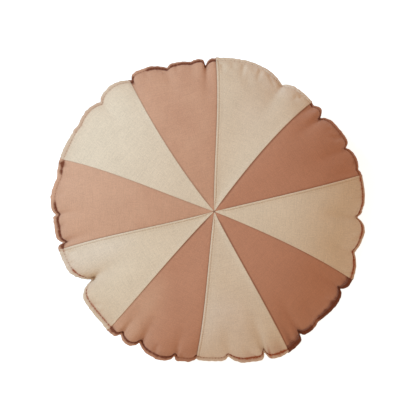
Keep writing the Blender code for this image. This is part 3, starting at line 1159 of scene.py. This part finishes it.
def linen(name, colour, creased, faded, sheen, seed):
    """Plain woven linen: warp and weft threads, some of them thicker for a stretch, in a dye that
    took a little unevenly. Light is painted on it as a paler colour, and shade as a darker one in
    the rim's crease, the gathers, along the seams and where the wedges meet. It reads the piece's
    grain map, whose units are metres."""
    finish = Finish(name)
    grain = finish.node("UVMap", {"uv_map": "grain"}, {})
    across = finish.node("SeparateXYZ", {}, {"Vector": grain}, output="X")
    along = finish.node("SeparateXYZ", {}, {"Vector": grain}, output="Y")

    def noise(across_scale, along_scale, shift, detail=2.0):
        place = {"X": across / across_scale, "Y": along / along_scale, "Z": shift}
        place = finish.node("CombineXYZ", {}, place)
        inputs = {"Vector": place, "Scale": 1.0, "Detail": detail, "Roughness": 0.55}
        return finish.node("TexNoise", {}, inputs)

    bend = noise(0.030, 0.030, seed, 1.0) - 0.5
    warp = ((across + bend * WANDER) * (math.pi / WARP_SPACING)).sine()
    weft = ((along + bend * WANDER) * (math.pi / WEFT_SPACING)).sine()
    over = warp * weft * 0.5
    threads = (abs(warp) * (0.5 + over)).highest(abs(weft) * (0.5 - over))
    warp_slubs = noise(0.0011, 0.013, seed + 3.1)
    weft_slubs = noise(0.015, 0.0012, seed + 7.7)
    slubs = warp_slubs.above(0.60, 0.80) + weft_slubs.above(0.60, 0.80)
    mottle = noise(0.045, 0.045, seed + 11.3, 3.0)
    fleck = noise(0.0019, 0.0019, seed + 17.9, 1.0)
    tone = 0.5 + (warp_slubs - 0.5) * 0.9 + (weft_slubs - 0.5) * 0.9
    tone = tone + (mottle - 0.5) * 0.45 + (fleck - 0.5) * 1.4 + (threads - 0.4) * 0.25
    # Painted shade and painted light, kept on the piece's points, mix in the darker and paler
    # colours
    painted_shade = finish.node("Attribute", {"attribute_name": "painted_shade"}, {}, output="Fac")
    painted_light_share = finish.node("Attribute", {"attribute_name": "faded"}, {}, output="Fac")
    painted_light_share = painted_light_share * (1.0 + (mottle - 0.5) * 0.8)
    dark = finish.mix(painted_light_share, tinted(colour, 0.86), tinted(faded, 0.86))
    light = finish.mix(painted_light_share, tinted(colour, 1.12), tinted(faded, 1.12))
    shade = finish.mix(tone, dark, light)
    shade = finish.mix(painted_shade * (0.85 + (fleck - 0.5) * 1.2), shade, tinted(creased, 1.0))
    relief = threads * 0.55 + slubs * 0.5 + (warp_slubs + weft_slubs) * 0.35
    bump = finish.node("Bump", {}, {"Height": relief, "Distance": 0.0003, "Strength": 0.55})
    finish.set(
        Base_Color=shade,
        Roughness=0.86 + (fleck - 0.5) * 0.12,
        Normal=bump,
        Sheen_Weight=sheen,
        Sheen_Roughness=0.45,
        Sheen_Tint=(1.0, 0.94, 0.86, 1.0),
        Specular_IOR_Level=0.25,
    )
    return finish.material


def sewing_thread(name, colour):
    """Twisted cotton thread."""
    finish = Finish(name)
    place = finish.node("TexCoord", {}, {}, output="Object")
    ply = finish.node("TexNoise", {}, {"Vector": place, "Scale": 1800.0, "Detail": 1.0})
    shade = finish.mix(ply.above(0.35, 0.65), tinted(colour, 0.8), tinted(colour, 1.15))
    bump = finish.node("Bump", {}, {"Height": ply, "Distance": 0.0002, "Strength": 0.6})
    finish.set(Base_Color=shade, Roughness=0.8, Normal=bump, Sheen_Weight=0.05)
    return finish.material


# Studio


def light(name, place, aim, size, power, colour):
    lamp = bpy.data.lights.new(name, "AREA")
    lamp.shape = "DISK"
    lamp.size = size
    lamp.energy = power
    lamp.color = colour
    holder = in_scene(name, lamp)
    holder.location = place
    holder.rotation_mode = "QUATERNION"
    holder.rotation_quaternion = (Vector(aim) - Vector(place)).to_track_quat("-Z", "Y")


def studio():
    """A pale floor, a soft light from the upper left and a camera straight above."""
    scene = bpy.context.scene
    half = 6.0
    corners = np.array([(-half, -half, 0), (half, -half, 0), (half, half, 0), (-half, half, 0)])
    floor = in_scene("floor", new_mesh("floor", corners, [(0, 1, 2, 3)]))
    pale = Finish("floor_white")
    glow = (0.74, 0.93, 1.0, 1.0)
    pale.set(Base_Color=(0.9, 0.9, 0.9, 1.0), Emission_Color=glow, Emission_Strength=0.68)
    pale.set(Roughness=0.9)
    floor.data.materials.append(pale.material)
    floor.location.z = -0.0002
    floor.visible_diffuse = False

    world = bpy.data.worlds.new("studio")
    world.use_nodes = True
    background = world.node_tree.nodes["Background"]
    background.inputs["Color"].default_value = (0.98, 0.703, 0.54, 1.0)
    background.inputs["Strength"].default_value = 0.72
    scene.world = world

    middle = (0.0, 0.0, 0.08)
    light("window", (-1.56, 0.96, 1.5), middle, 1.1, 48.0, (0.47, 0.745, 1.02))
    light("bounce", (-0.4, -1.65, 1.2), middle, 1.2, 5.0, (0.55, 0.82, 0.93))

    camera = bpy.data.cameras.new("camera")
    camera.sensor_width = 36
    camera.lens = 100
    holder = in_scene("camera", camera)
    away = WIDTH * camera.lens / camera.sensor_width * PHOTO_SIDE / CUSHION_ACROSS
    holder.location = (*CAMERA_SHIFT, RIM_HEIGHT + away)
    scene.camera = holder
    scene.view_settings.view_transform = "Standard"


def sew_cushion():
    """The whole cushion: its pieces in the order in which they are sewn."""
    cream = linen("cream_linen", CREAM, CREAM_PAINTED_SHADE, CREAM_PAINTED_LIGHT, 0.1, 1.0)
    rose = linen("rose_linen", ROSE, ROSE_PAINTED_SHADE, ROSE_PAINTED_LIGHT, 0.12, 5.0)
    cream_thread = sewing_thread("cream_thread", CREAM_THREAD)
    rose_thread = sewing_thread("rose_thread", ROSE_THREAD)
    face, back = filled_cover()
    face, back = full_crown(calmed(face), 1), full_crown(calmed(back), -1)
    cover = []
    for number in range(len(SEAMS)):
        finish, slot = (cream, "cream_linen") if number % 2 else (rose, "rose_linen")
        cover.append(sew_wedge(number, face, finish, slot))
    cover.append(sew_back(back, cream))
    for piece in cover:
        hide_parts("cushion")

    tree = stitch_tree()
    around = {"Finish": rose_thread, "Seed": 3, "Thread": 0.0009}
    sew_stitches("rim_stitches", [rim_line(1)], tree, "rose_thread", **around)
    under = {"Finish": rose_thread, "Seed": 7}
    sew_stitches("rim_stitches_under", [rim_line(-1)], tree, "rose_thread", **under)
    beside = {"Finish": cream_thread, "Seed": 9, "Stitch": 0.003, "Thread": 0.00055}
    lines = [seam_line(number, face) for number, seam in enumerate(SEAMS) if seam.stitched]
    sew_stitches("seam_stitches", lines, tree, "cream_thread", **beside)


sew_cushion()
studio()
